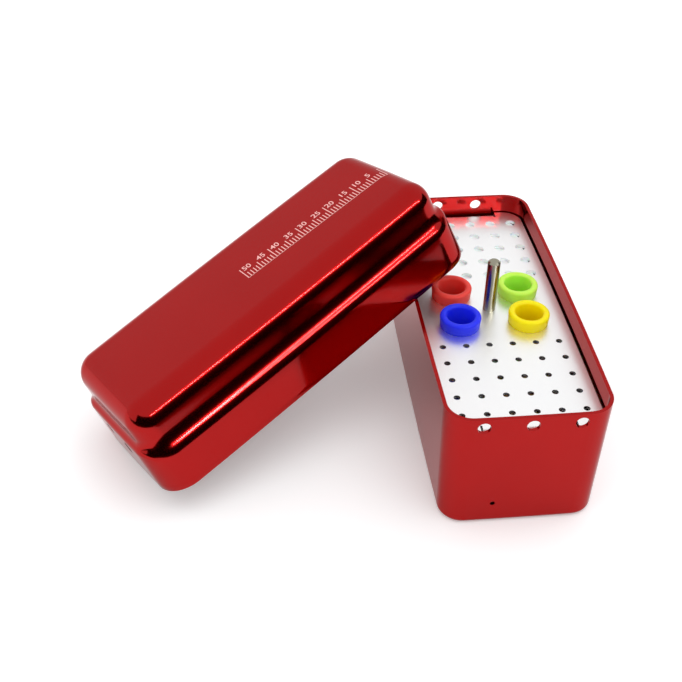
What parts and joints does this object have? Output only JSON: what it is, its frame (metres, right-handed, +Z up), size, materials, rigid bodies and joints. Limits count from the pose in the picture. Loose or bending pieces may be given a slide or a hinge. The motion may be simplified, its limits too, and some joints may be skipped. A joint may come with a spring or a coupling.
{
  "type": "endodontic file holder",
  "caption": "Red anodised aluminium box for sterilising root canal files, with a leaning stepped lid, perforated lift-out rack, lifting post and silicone cups.",
  "frame": {"origin": "centre of the tub's underside, on the table", "axes": "+Z up, +Y along the tub away from its three-vent end, +X to the right; the lid leans against the -X side"},
  "size_m": [0.139, 0.1066, 0.0668],
  "materials": {
    "red_anodised": "satin red anodised",
    "rack_sheet": "satin silver anodised",
    "rivet_aluminium": "plain",
    "post_steel": "polished",
    "silicone_red": "translucent matte",
    "silicone_green": "translucent matte",
    "silicone_blue": "translucent matte",
    "silicone_yellow": "translucent matte"
  },
  "bodies": {
    "tub": {"base_tub": "red_anodised"},
    "rack": {"file_rack": "rack_sheet", "guide_plate": "rack_sheet", "rivet_near_left": "rivet_aluminium", "rivet_near_right": "rivet_aluminium", "rivet_far_left": "rivet_aluminium", "rivet_far_right": "rivet_aluminium", "lifting_post": "post_steel", "post_washer": "post_steel", "post_nut": "post_steel"},
    "red_cup": {"cup_red": "silicone_red"},
    "green_cup": {"cup_green": "silicone_green"},
    "blue_cup": {"cup_blue": "silicone_blue"},
    "yellow_cup": {"cup_yellow": "silicone_yellow"},
    "lid": {"lid_shell": "red_anodised"}
  },
  "joints": [
    {"name": "rack_lift", "type": "slide", "parent": "tub", "child": "rack", "axis": [0, 0, 1], "range_m": [0, 0.045]},
    {"name": "red_cup_lift", "type": "slide", "parent": "rack", "child": "red_cup", "axis": [0, 0, 1], "range_m": [0, 0.015]},
    {"name": "green_cup_lift", "type": "slide", "parent": "rack", "child": "green_cup", "axis": [0, 0, 1], "range_m": [0, 0.015]},
    {"name": "blue_cup_lift", "type": "slide", "parent": "rack", "child": "blue_cup", "axis": [0, 0, 1], "range_m": [0, 0.015]},
    {"name": "yellow_cup_lift", "type": "slide", "parent": "rack", "child": "yellow_cup", "axis": [0, 0, 1], "range_m": [0, 0.015]},
    {"name": "lid_lift", "type": "slide", "parent": "red_cup", "child": "lid", "axis": [0, 0, 1], "range_m": [0, 0.06]}
  ]
}
